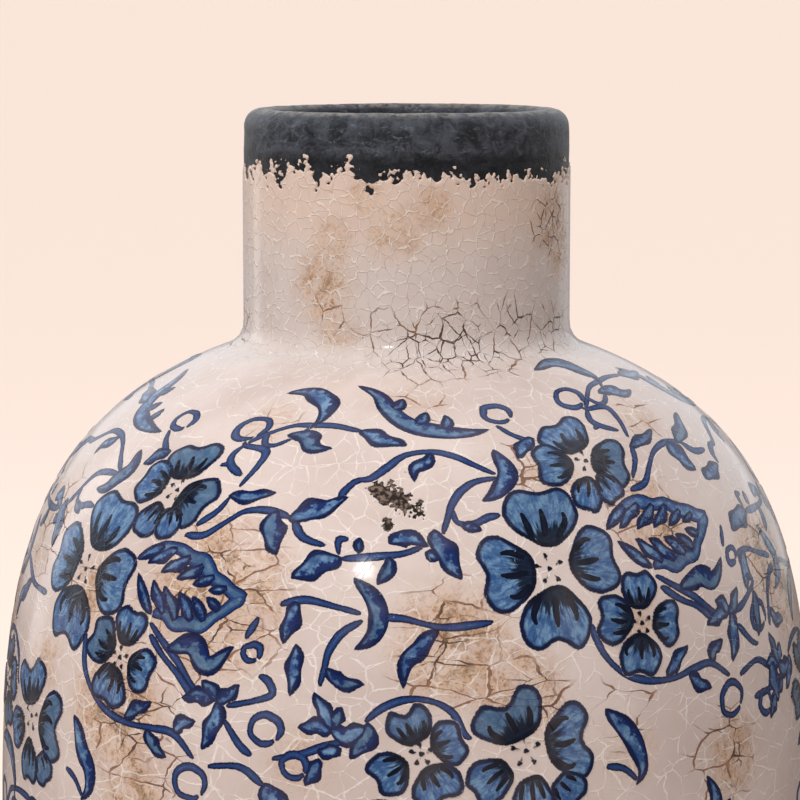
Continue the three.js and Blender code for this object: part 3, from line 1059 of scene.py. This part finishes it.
# Brushed leaves: breadth, then the points that the brush followed.
LEAVES = [
    (3.6, [(-62, 17), (-55, 19.5), (-48, 21)]),
    (4.4, [(-4, 33), (-3, 28), (-4, 24), (-7, 20), (-12.5, 18)]),
    (2.6, [(-20, 34), (-22, 31), (-26, 29), (-27.5, 25)]),
    (5.2, [(-26.5, 12), (-26, 8), (-24.5, 3), (-23, -2)]),
    (2.4, [(-30.5, 6), (-27, 4)]),
    (2.2, [(-20, 12), (-17, 11.5), (-14.5, 10)]),
    (3.6, [(-39, 9), (-34, 10.5), (-29, 7.5)]),
    (5.0, [(-51, 6.3), (-58, 5), (-66, 2)]),
    (1.8, [(-47, 7), (-46.5, 9), (-45, 11.5)]),
    (2.6, [(-40, 6.5), (-40, 3), (-44, -1)]),
    (4.2, [(-49.5, 1.5), (-46.5, -3.5), (-45, -9), (-47, -13), (-53, -16.5)]),
    (3.6, [(-64.5, -3.5), (-68, -9), (-71, -14.5)]),
    (3.2, [(-61, -20), (-58, -23.5), (-51.5, -25)]),
    (3.4, [(-61, -36), (-65, -34.5), (-70, -34.5)]),
    (3.2, [(-61, -36), (-60, -33), (-58, -30)]),
    (3.4, [(-61, -36), (-63, -31), (-64.5, -26)]),
    (4.2, [(-62, -35), (-58, -37), (-52, -35.5)]),
    (4.0, [(-52, -34), (-53, -38), (-58, -43)]),
    (3.6, [(-31, -13), (-36, -17), (-40, -20), (-42.5, -27)]),
    (3.0, [(-59, -40), (-63, -41), (-66, -40)]),
    (3.0, [(-65, -42), (-67, -45), (-70, -49)]),
    (3.4, [(-67, -14), (-68.5, -20), (-71, -27)]),
    (5.2, [(-29, 61), (-25.5, 56), (-24.5, 50), (-21.5, 44), (-15, 40), (-9, 39), (-2, 39.5)]),
    (2.4, [(-24.5, 50), (-21.5, 51), (-19, 54)]),
    (2.4, [(-21, 44), (-18, 45), (-15.5, 48)]),
    (2.2, [(-14, 41), (-12, 43.5), (-11.5, 46.5)]),
    (3.4, [(8.5, 35), (5, 33), (1, 29)]),
    (3.6, [(37, 46.5), (42, 47), (47, 44), (53, 44)]),
    (3.2, [(54, 51), (62, 48.5), (71, 47)]),
    (4.2, [(22, 61.5), (29, 63.5), (36, 60), (41, 54), (41.5, 49)]),
    (3.0, [(36, 26.5), (43, 27.5), (49, 29.5)]),
    (5.0, [(56, 23), (62, 26), (68, 31)]),
    (5.0, [(51.5, 25), (54, 20), (59, 13.5)]),
    (5.0, [(37, -14.5), (45, -12.5), (51, -15.5), (57, -10)]),
    (3.4, [(55, -25), (51, -24), (45, -25.5)]),
    (3.2, [(55, -25), (53.5, -22), (50, -20)]),
    (3.2, [(55, -25), (58, -23), (61, -19)]),
    (4.2, [(56, -24), (56, -30), (53.5, -37)]),
    (6.0, [(72, -42), (75, -47), (76, -54)]),
    (3.0, [(28, -35), (32, -31.5), (37, -28.5)]),
    (3.0, [(36, -35), (39, -39), (44, -41.5)]),
    (3.0, [(45, -35.5), (46.5, -32), (51, -30.5)]),
    (4.6, [(8.5, -38.5), (13, -45), (17, -50), (17.5, -56), (15, -60)]),
]

# The feathered leaf beside the big flower: its two edges, then the barbs between them, each a
# breadth and the points from the edge to the midrib.
FEATHER_EDGES = [
    [(23, 8), (27, 10), (32, 10.3), (36, 8.9), (40, 8.6), (44, 5.8), (48, 4.4), (52, 2.2),
     (56, 1.8)],
    [(30, -7), (34, -6.3), (38, -8), (42, -6.8), (46, -7), (48.5, -4.2), (51, -2), (53, 0.2),
     (56, 1.8)],
]
FEATHER_BARBS = [
    (3.8, [(27, 10.5), (23.5, 8.5), (18.5, 5)]),
    (4.2, [(31.5, 10.5), (28, 8.3), (22.5, 4.6)]),
    (4.2, [(36.5, 9.5), (33.5, 7), (28, 3.6)]),
    (4.0, [(41, 8.5), (38.5, 5.8), (33.5, 2.8)]),
    (3.6, [(45.5, 6), (43.5, 4.4), (39, 2.3)]),
    (3.0, [(50, 4), (48.5, 3), (44.5, 1.8)]),
    (3.6, [(30, -7.5), (26.5, -4), (21, 2)]),
    (4.0, [(34.5, -7), (31.5, -4), (26.5, 1.5)]),
    (4.2, [(38.5, -7.5), (36, -4.5), (31, 0.8)]),
    (4.0, [(43, -7), (41, -4.3), (36, 0)]),
    (3.6, [(46.5, -6.5), (45, -4), (40.5, -0.4)]),
    (3.0, [(50, -3.5), (48.5, -1.8), (44.5, 0.2)]),
]

VINE_BREADTH = 2.3
FEATHER_BREADTH = 4.4
LEAF_SPREAD = 1.2
LOBED_BREADTH = 3.8
STROKE_STEP = 1.1
STROKE_SHAKE = 0.12
VINE_END_SHARE = 0.55
VINE_TAPER = 2.5
VINE_SWELL = 0.14
VINE_WAVE = 3.1
LEAF_LEAN = 0.26
LEAF_LEAST = 0.16
VINE_COLUMNS = 5
LEAF_COLUMNS = 7
PETAL_POINTS = 44
PETAL_RINGS = (0.4, 0.65, 0.84, 0.95, 1.0)
PETAL_STREAKS = (-0.26, 0.02, 0.27)
DAB_POINTS = 14
DAB_RINGS = (0.6, 1.0)
CURL_POINTS = 14

# A flower's eye: the stamens' turns, the shares of the eye that they run between, their breadth,
# and the breadth and height of the dabs at their tips and in the middle. A dab is painted as if
# its root were so wide that all of it is dark.
STAMENS = np.radians([20, 95, 160, 235, 300])
STAMEN_START = 0.45
STAMEN_END = 0.95
STAMEN_BREADTH = 0.9
TIP_DAB = (1.7, 1.5)
EYE_DAB = (1.8, 1.6)
DAB_REACH = 100.0

# Each mark lies a step higher than the one before, with its edge tucked under the glaze. A root
# is a share of the way to a petal's tip; PLAIN_ROOT is past every tip, so it adds no dark root.
PAINT_LIFT = 0.05
PAINT_STEP = 0.0012
PAINT_DEPTH = 0.3
EDGE_TUCK = 0.03
EDGE_WIDTH = 0.01
PLAIN_ROOT = 2.0
STREAK_ROOT = 0.3


class Painting:
    """Marks of paint gathered into one mesh. Each mark is a thin closed shell on the wall.

    Every point carries two vectors for the shader. "brush" is the way along and across the mark
    and the mark's own seed. "mark" is the distance to its edge, its root and whether it is shaded.
    """

    def __init__(self, turn, rise, tilt, seed):
        self.turn = turn
        self.rise = rise
        self.tilt = math.radians(tilt)
        self.random = np.random.default_rng(seed)
        self.points = []
        self.normals = []
        self.faces = []
        self.brush = []
        self.mark = []
        self.count = 0
        self.lift = PAINT_LIFT

    def lay(self, flat, edge, brush, root, faces, rims, shaded=False):
        """Adds one mark: flat points, their distance to its edge, and its face corners.

        rims is the ring of points along the mark's edge, which walls join to the underside.
        A shaded mark is darker along one side, as a leaf is.
        """
        x, y = flat.T
        across = x * math.cos(self.tilt) - y * math.sin(self.tilt)
        up = x * math.sin(self.tilt) + y * math.cos(self.tilt)
        rise = self.rise + up
        radius, _ = in_wall(rise, 0)
        turn = self.turn + np.degrees(across / radius)
        self.lift += PAINT_STEP
        lift = np.where(edge > EDGE_WIDTH, self.lift, -EDGE_TUCK)
        top = on_wall(turn, rise, lift)
        normals = out_of_wall(turn, rise)
        under = on_wall(turn[rims], rise[rims], -PAINT_DEPTH)
        size = len(flat)
        start = self.count
        seed = self.random.random() * 100
        self.points.append(np.vstack([top, under, under.mean(0)[None]]))
        self.normals.append(np.vstack([normals, -normals[rims], -normals[rims].mean(0)[None]]))
        full = np.column_stack([brush, np.full(size, seed)])
        self.brush.append(np.vstack([full, full[rims], full[:1]]))
        both = np.column_stack([edge, root, np.full(size, float(shaded))])
        self.mark.append(np.vstack([both, both[rims], both[:1]]))
        self.faces += [tuple(start + corner for corner in face) for face in faces]
        ring = len(rims)
        below = start + size
        for i in range(ring):
            j = (i + 1) % ring
            self.faces.append((start + rims[i], below + i, below + j, start + rims[j]))
            self.faces.append((below + i, below + ring, below + j))
        self.count += size + ring + 1

    def stroke(self, points, breadth, leaf=False, root=PLAIN_ROOT):
        """A brush stroke: even and fine for a vine, swelling and pointed for a leaf."""
        points = np.array(points) + self.random.normal(0, STROKE_SHAKE, (len(points), 2))
        path = smooth_path(points, STROKE_STEP)
        length = np.concatenate([[0], np.cumsum(np.hypot(*np.diff(path, axis=0).T))])
        share = length / length[-1]
        from_end = np.minimum(length, length[-1] - length)
        rows = len(path)
        wide = LEAF_COLUMNS if leaf else VINE_COLUMNS
        columns = np.linspace(-1, 1, wide)
        if leaf:
            half = breadth / 2 * np.clip(np.sin(np.pi * share**0.85), 0, 1) ** 0.75 + LEAF_LEAST
            lobes = LEAF_LEAN * np.sin(3 * np.pi * share + self.random.random() * 6)
            lean = 1 + (lobes * (breadth > LOBED_BREADTH))[:, None] * columns[None]
        else:
            taper = (1 - VINE_END_SHARE) * np.clip(from_end / VINE_TAPER, 0, 1)
            half = breadth / 2 * (VINE_END_SHARE + taper)
            half *= 1 + VINE_SWELL * np.sin(length / VINE_WAVE + self.random.random() * 6)
            lean = 1.0
        ahead = np.gradient(path, axis=0)
        ahead /= np.hypot(*ahead.T)[:, None]
        aside = np.column_stack([-ahead[:, 1], ahead[:, 0]])
        offset = half[:, None] * columns[None] * lean
        flat = path[:, None] + aside[:, None] * offset[:, :, None]
        edge = np.minimum(half[:, None] * (1 - np.abs(columns))[None], from_end[:, None])
        across = np.tile(columns, (rows, 1))
        along = np.repeat(length[:, None], wide, 1)
        faces = [
            (r * wide + c, (r + 1) * wide + c, (r + 1) * wide + c + 1, r * wide + c + 1)
            for r in range(rows - 1)
            for c in range(wide - 1)
        ]
        left = [r * wide for r in range(rows)]
        end = [(rows - 1) * wide + c for c in range(1, wide - 1)]
        right = [r * wide + wide - 1 for r in reversed(range(rows))]
        begin = list(reversed(range(1, wide - 1)))
        rims = left + end + right + begin
        brush = np.column_stack([along.ravel(), across.ravel()])
        roots = np.full(edge.size, root)
        shaded = leaf and root == PLAIN_ROOT
        self.lay(flat.reshape(-1, 2), edge.ravel(), brush, roots, faces, rims, shaded)

    def patch(self, outline, middle, root_at, reach, rings=PETAL_RINGS):
        """A filled shape: its outline round a middle, coloured by its distance from a root."""
        middle = np.array(middle, float)
        flat = np.vstack([middle[None]] + [middle + (outline - middle) * share for share in rings])
        edge = distance_to_outline(flat, outline)
        edge[-len(outline):] = 0
        spoke = flat - np.array(root_at)
        along = np.hypot(*spoke.T)
        ring = len(outline)
        faces = [(0, 1 + i, 1 + (i + 1) % ring) for i in range(ring)]
        for level in range(len(rings) - 1):
            low = 1 + level * ring
            high = low + ring
            for i in range(ring):
                j = (i + 1) % ring
                faces.append((low + i, high + i, high + j, low + j))
        rims = [1 + (len(rings) - 1) * ring + i for i in range(ring)]
        centre = np.arctan2(*(middle - np.array(root_at))[::-1])
        turn = (np.arctan2(spoke[:, 1], spoke[:, 0]) - centre + np.pi) % (2 * np.pi) - np.pi
        brush = np.column_stack([along, turn * reach * 0.6])
        self.lay(flat, edge, brush, along / reach, faces, rims)

    def petal(self, flower, x, y, length, breadth, notch):
        """A rounded petal, narrow at its root and notched at its tip, with three streaks in it."""
        middle = np.array([x, y], float)
        outward = middle - np.array(flower, float)
        outward /= np.hypot(*outward)
        aside = np.array([-outward[1], outward[0]])
        angle = np.linspace(0, 2 * math.pi, PETAL_POINTS, endpoint=False)
        shift = self.random.random(3) * 6
        wobble = 1 + 0.03 * np.sin(3 * angle + shift[0]) + 0.025 * np.sin(5 * angle + shift[1])
        along = np.sign(np.cos(angle)) * np.abs(np.cos(angle)) ** 0.85
        over = np.sign(np.sin(angle)) * np.abs(np.sin(angle)) ** 0.85
        over *= 1 - 0.3 * np.clip(-along, 0, 1)
        from_tip = (angle + math.pi) % (2 * math.pi) - math.pi
        along -= 2 * notch * np.exp(-((from_tip / 0.3) ** 2))
        along, over = along * wobble * length / 2, over * wobble * breadth / 2
        outline = middle + along[:, None] * outward + over[:, None] * aside
        reach = np.hypot(*(middle - np.array(flower))) + length / 2
        self.patch(outline, middle, flower, reach)
        for side in PETAL_STREAKS:
            shift = self.random.normal(0, 0.03)
            start = middle - outward * length * 0.4 + aside * breadth * side * 0.55
            bend = middle - outward * length * 0.12 + aside * breadth * (side + shift)
            end = middle + outward * length * (0.16 - abs(side) * 0.3) + aside * breadth * side
            streak = 0.13 * (length + breadth) / 2
            self.stroke([start, bend, end], streak, leaf=True, root=STREAK_ROOT)

    def dab(self, x, y, across, up, lean=0.0):
        """A small round touch of dark paint."""
        angle = np.linspace(0, 2 * math.pi, DAB_POINTS, endpoint=False)
        wobble = 1 + 0.12 * np.sin(3 * angle + self.random.random() * 6)
        near = np.column_stack([across * np.cos(angle) * wobble, up * np.sin(angle) * wobble]) / 2
        turned_by = np.array([[math.cos(lean), math.sin(lean)], [-math.sin(lean), math.cos(lean)]])
        outline = near @ turned_by + (x, y)
        self.patch(outline, (x, y), (x, y), DAB_REACH, rings=DAB_RINGS)

    def flower(self, x, y, eye, petals):
        """Petals, then stamens with dark tips round a dark eye."""
        for petal in petals:
            self.petal((x, y), *petal)
        for angle in STAMENS:
            near, far = eye * STAMEN_START, eye * STAMEN_END
            base = (x + near * math.cos(angle), y + near * math.sin(angle))
            tip = (x + far * math.cos(angle), y + far * math.sin(angle))
            self.stroke([base, tip], STAMEN_BREADTH)
            self.dab(*tip, *TIP_DAB, angle)
        self.dab(x, y, *EYE_DAB)

    def mesh(self, name):
        """All the marks as one mesh, lit as the smooth wall is."""
        mesh = bpy.data.meshes.new(name)
        mesh.from_pydata(np.vstack(self.points).tolist(), [], self.faces)
        for label, rows in (("brush", self.brush), ("mark", self.mark)):
            layer = mesh.attributes.new(label, "FLOAT_VECTOR", "POINT")
            layer.data.foreach_set("vector", np.vstack(rows).astype(np.float32).ravel())
        mesh.shade_smooth()
        mesh.normals_split_custom_set_from_vertices(np.vstack(self.normals).tolist())
        return mesh


def smooth_path(points, step):
    """A smooth path through points, as rows a step apart."""
    points = np.array(points, float)
    first, last = 2 * points[0] - points[1], 2 * points[-1] - points[-2]
    knots = np.vstack([first, points, last])
    rows = []
    for a, b, c, d in zip(knots, knots[1:], knots[2:], knots[3:]):
        count = max(2, math.ceil(np.hypot(*(c - b)) / step))
        for share in np.arange(count) / count:
            rows.append(
                0.5 * (2 * b + (c - a) * share + (2 * a - 5 * b + 4 * c - d) * share**2
                       + (3 * b - a - 3 * c + d) * share**3)
            )
    return np.vstack(rows + [points[-1]])


def distance_to_outline(points, outline):
    """How far each point is from a closed outline."""
    start, end = outline, np.roll(outline, -1, 0)
    way = end - start
    share = ((points[:, None] - start) * way).sum(-1) / (way**2).sum(-1)
    nearest = start + np.clip(share, 0, 1)[..., None] * way
    return np.hypot(*(points[:, None] - nearest).transpose(2, 0, 1)).min(1)


def curl_points(x, y, radius):
    """Points once round a closed curl, a little flatter than a circle."""
    angles = np.radians(np.linspace(-40, 320, CURL_POINTS))
    return [(x + radius * math.cos(a), y + 0.9 * radius * math.sin(a)) for a in angles]


def paint_spray(number, turn, rise, tilt):
    """One spray, laid in the order of the brush: vines first, flowers last."""
    art = Painting(turn, rise, tilt, number)
    for vine in VINES:
        art.stroke(vine, VINE_BREADTH)
    for curl in CURLS:
        art.stroke(curl_points(*curl), VINE_BREADTH)
    for edge in FEATHER_EDGES:
        art.stroke(edge, FEATHER_BREADTH)
    for breadth, barb in FEATHER_BARBS:
        art.stroke(barb, breadth, leaf=True)
    for breadth, leaf in LEAVES:
        art.stroke(leaf, breadth + LEAF_SPREAD, leaf=True)
    for flower in FLOWERS:
        art.flower(*flower)
    name = f"spray_{number}"
    spray = bpy.data.objects.new(name, art.mesh(name))
    bpy.context.collection.objects.link(spray)
    finish_piece(spray, name, "outer_glaze", PAINT)


# Turn, rise and tilt of each spray: one row over the shoulder, and one below it between them.
SPRAYS = [
    (-53.2, 93, -5.2), (20.3, 99.5, 5.2), (95.5, 96, -2), (166, 94, 3), (236.5, 97, -3),
    (-17, -26, 3), (56, -22, -3), (128, -28, 4), (200, -24, -2), (271, -26, 2),
]


def paint_vase():
    for number, (turn, rise, tilt) in enumerate(SPRAYS, 1):
        paint_spray(number, turn, rise, tilt)


# ---------------------------------------------------------------------------------------------
# The vase
# ---------------------------------------------------------------------------------------------


def throw_sections():
    """The clay sections, with the marks of the hand that threw them."""
    foot = turned(foot_ring_outline(), FOOT_ROUND_STEPS)
    roughen(foot, amount=0.12, scale=9, low=FOOT_ROUND)
    finish_piece(foot, "foot", "foot_ring", CLAY)
    finish_piece(turned(bowl_outline()), "bowl_wall", "bowl", CLAY)
    shoulder = turned(lapped_outline(0, NECK_SEAM))
    finish_piece(shoulder, "shoulder_wall", "shoulder", CLAY)
    collar = turned(lapped_outline(NECK_SEAM, RIM_SEAM))
    finish_piece(collar, "collar_wall", "neck_collar", CLAY)
    rim = turned(rim_outline(), RIM_ROUND_STEPS)
    roughen(rim, amount=0.16, scale=7, low=HEIGHT - 14)
    finish_piece(rim, "worn_rim", "rim", SLIP_FINISH)


# Turn, rise and reach of the pits where the glaze has chipped off.
CHIPS = [
    (-4.5, 119.8, 3.6), (-2.8, 118.6, 4.8), (-0.8, 116.4, 4.2), (1.4, 114.2, 3.2), (-2.9, 110.0, 2.2),
]
CHIP_TURN = -1.6
CHIP_RISE = 116
CHIP_REACH = 13
CHIP_DEPTH = 0.55
CHIP_CUTS = 8
FACING = 0.5

# The pits' ragged edges: waves as a size and an amount, how full and how ragged the pits are, and
# the share of a pit's reach at which they start and over which they deepen.
CHIP_WAVES = [(2.3, 1.0), (0.95, 0.8), (0.5, 0.4)]
CHIP_FULLNESS = 1.5
CHIP_RAGGEDNESS = 0.85
CHIP_START = 0.42
CHIP_SLOPE = 0.16


def chip_at(place):
    """How far a place lies inside the chipped glaze, from 0 on the sound glaze to 1 in a pit."""
    nearest = 0.0
    for turn, rise, reach in CHIPS:
        gap = (place - Vector(on_wall(turn, rise) / MM)).length
        nearest = max(nearest, 1 - gap / reach)
    broken = sum(amount * noise.noise(place / size) for size, amount in CHIP_WAVES)
    inside = (nearest * CHIP_FULLNESS + CHIP_RAGGEDNESS * broken - CHIP_START) / CHIP_SLOPE
    return min(max(inside, 0.0), 1.0) if nearest > 0 else 0.0


def chip_glaze(coat):
    """Cuts the coat finer round its chip, and sinks the ragged pits into it."""
    middle = Vector(on_wall(CHIP_TURN, CHIP_RISE))
    outward = Vector(out_of_wall(CHIP_TURN, CHIP_RISE))
    bpy.ops.object.mode_set(mode="EDIT")
    bpy.ops.mesh.select_mode(type="FACE")
    bpy.ops.mesh.select_all(action="DESELECT")
    bpy.ops.object.mode_set(mode="OBJECT")
    for polygon in coat.data.polygons:
        near = (polygon.center - middle).length < CHIP_REACH * MM
        polygon.select = near and polygon.normal.dot(outward) > FACING
    bpy.ops.object.mode_set(mode="EDIT")
    bpy.ops.mesh.subdivide(number_cuts=CHIP_CUTS)
    bpy.ops.object.mode_set(mode="OBJECT")
    mesh = coat.data
    sunk = []
    for vertex in mesh.vertices:
        near = (vertex.co - middle).length < CHIP_REACH * MM
        on_face = near and vertex.normal.dot(outward) > FACING
        sunk.append(chip_at(vertex.co / MM) if on_face else 0.0)
    layer = mesh.attributes.new("chip", "FLOAT", "POINT")
    layer.data.foreach_set("value", sunk)
    for vertex, share in zip(mesh.vertices, sunk):
        vertex.co -= outward * (share * CHIP_DEPTH * MM)


def pour_glazes():
    """The outer glaze with its chip and its ragged edge, and the glaze inside."""
    coat = turned(coat_outline(), COAT_ROUND_STEPS)
    chip_glaze(coat)
    finish_piece(coat, "glaze_coat", "outer_glaze", GLAZE_FINISH)
    edge = bpy.data.objects.new("glaze_edge", closed_sheet(*glaze_edge_mesh()))
    bpy.context.collection.objects.link(edge)
    bpy.ops.object.select_all(action="DESELECT")
    edge.select_set(True)
    bpy.context.view_layer.objects.active = edge
    bpy.ops.object.shade_smooth_by_angle(angle=EDGE_SHARP_ANGLE)
    finish_piece(edge, "glaze_edge", "outer_glaze", GLAZE_FINISH)
    liner = turned(liner_outline(), LINER_ROUND_STEPS)
    finish_piece(liner, "liner", "liner_glaze", LINER_FINISH)


# ---------------------------------------------------------------------------------------------
# Studio
# ---------------------------------------------------------------------------------------------

PALE = srgb("fae4d7")
FLOOR_PALE = srgb("fae5d8")
FLOOR_SIZE = 600

# The floor looks pale to the camera. The vase is lit by a greyer one, and mirrors one that is dark
# near by and paler beyond, between these distances behind the vase in millimetres.
FLOOR_LIT = srgb("a89b93")
FLOOR_MIRRORED_NEAR = srgb("6a625e")
FLOOR_MIRRORED_FAR = srgb("b9b4b2")
FAR_START = 1100
FAR_END = 2100

# The room as the vase is lit by it, and as the glaze mirrors it: dim, with a bright panel behind.
ROOM = (0.54, 0.54, 0.55, 1)
ROOM_MIRRORED = (0.13, 0.135, 0.15, 1)
PANEL_MIRRORED = (0.98, 1.0, 1.05, 1)

# Lights, with places and sizes in metres. Each panel has a name, place, power, size and colour.
SUN_PLACE = (-1.35, -1.9, 2.4)
SUN_STRENGTH = 2.05
SUN_SPREAD = math.radians(35)
WHITE = (1, 1, 1)
COOL_WHITE = (0.88, 0.95, 1.0)
PANEL_AIM = (0, 0, 0.2)
PANELS = [
    ("left_strip", (-1.2, 0.95, 0.42), 0.8, (0.3, 1.0), WHITE),
    ("right_strip", (0.85, 1.2, 0.22), 0.21, (0.6, 0.4), COOL_WHITE),
    ("overhead", (0, 0.35, 1.5), 3.5, (2.0, 1.0), WHITE),
    ("glint", (-0.34, -1.42, 1.25), 3.4, (0.12, 0.12), WHITE),
]


def lay_floor():
    bpy.ops.object.select_all(action="DESELECT")
    bpy.ops.mesh.primitive_plane_add(size=FLOOR_SIZE, location=(0, 0, 0))
    floor = bpy.context.object
    floor.name = "floor"
    material, shades, surface = new_material("pale floor")
    path = shades.node("LightPath").outputs
    beyond = shades.parts(shades.place())["Y"]
    far = shades.step(beyond, FAR_START, FAR_END)
    mirrored = shades.blend(far, FLOOR_MIRRORED_NEAR, FLOOR_MIRRORED_FAR)
    unseen = shades.blend(path["Is Glossy Ray"], FLOOR_LIT, mirrored)
    colour = shades.blend(path["Is Camera Ray"], unseen, FLOOR_PALE)
    shades.feed(surface.inputs["Base Color"], colour)
    surface.inputs["Roughness"].default_value = 0.9
    surface.inputs["Specular IOR Level"].default_value = 0.0
    floor.data.materials.append(material)


def light_room():
    world = bpy.data.worlds.new("studio")
    bpy.context.scene.world = world
    world.use_nodes = True
    world.node_tree.nodes.clear()
    shades = Shades(world.node_tree)
    path = shades.node("LightPath").outputs
    way = shades.parts(shades.node("TexCoord").outputs["Generated"])
    above = shades.times(shades.step(way["Z"], -0.02, 0.12), shades.step(way["Z"], 0.75, 0.5))
    panel = shades.times(above, shades.step(way["Y"], 0.1, 0.6))
    gloss = shades.blend(panel, ROOM_MIRRORED, PANEL_MIRRORED)
    room = shades.blend(path["Is Glossy Ray"], ROOM, gloss)
    colour = shades.blend(path["Is Camera Ray"], room, PALE)
    background = shades.node("Background", {"Color": colour, "Strength": 1.0})
    output = shades.node("OutputWorld")
    world.node_tree.links.new(background.outputs[0], output.inputs["Surface"])


def add_light(data, place, aim):
    """Hangs a light at a place, turned towards its aim."""
    light = bpy.data.objects.new(data.name, data)
    bpy.context.collection.objects.link(light)
    light.location = place
    light.rotation_mode = "QUATERNION"
    light.rotation_quaternion = (Vector(aim) - Vector(place)).to_track_quat("-Z", "Y")
    return light


def set_lights():
    sun = bpy.data.lights.new("key", "SUN")
    sun.energy = SUN_STRENGTH
    sun.angle = SUN_SPREAD
    add_light(sun, SUN_PLACE, (0, 0, 0)).visible_glossy = False
    for name, place, power, size, colour in PANELS:
        panel = bpy.data.lights.new(name, "AREA")
        panel.energy = power
        panel.color = colour
        panel.shape = "DISK" if name == "glint" else "RECTANGLE"
        panel.size, panel.size_y = size
        add_light(panel, place, PANEL_AIM)


CAMERA_PLACE = (-0.0018, -0.8696, 0.3503)
CAMERA_PITCH = math.radians(7.27)
CAMERA_LENS = 142.3
SENSOR_WIDTH = 36
CLIP_END = 1000


def set_camera():
    data = bpy.data.cameras.new("camera")
    data.sensor_width = SENSOR_WIDTH
    data.lens = CAMERA_LENS
    data.clip_end = CLIP_END
    camera = bpy.data.objects.new("camera", data)
    camera.location = CAMERA_PLACE
    camera.rotation_euler = (math.pi / 2 - CAMERA_PITCH, 0, 0)
    bpy.context.collection.objects.link(camera)
    bpy.context.scene.camera = camera


throw_sections()
pour_glazes()
paint_vase()
lay_floor()
light_room()
set_lights()
set_camera()
bpy.context.scene.view_settings.view_transform = "Standard"
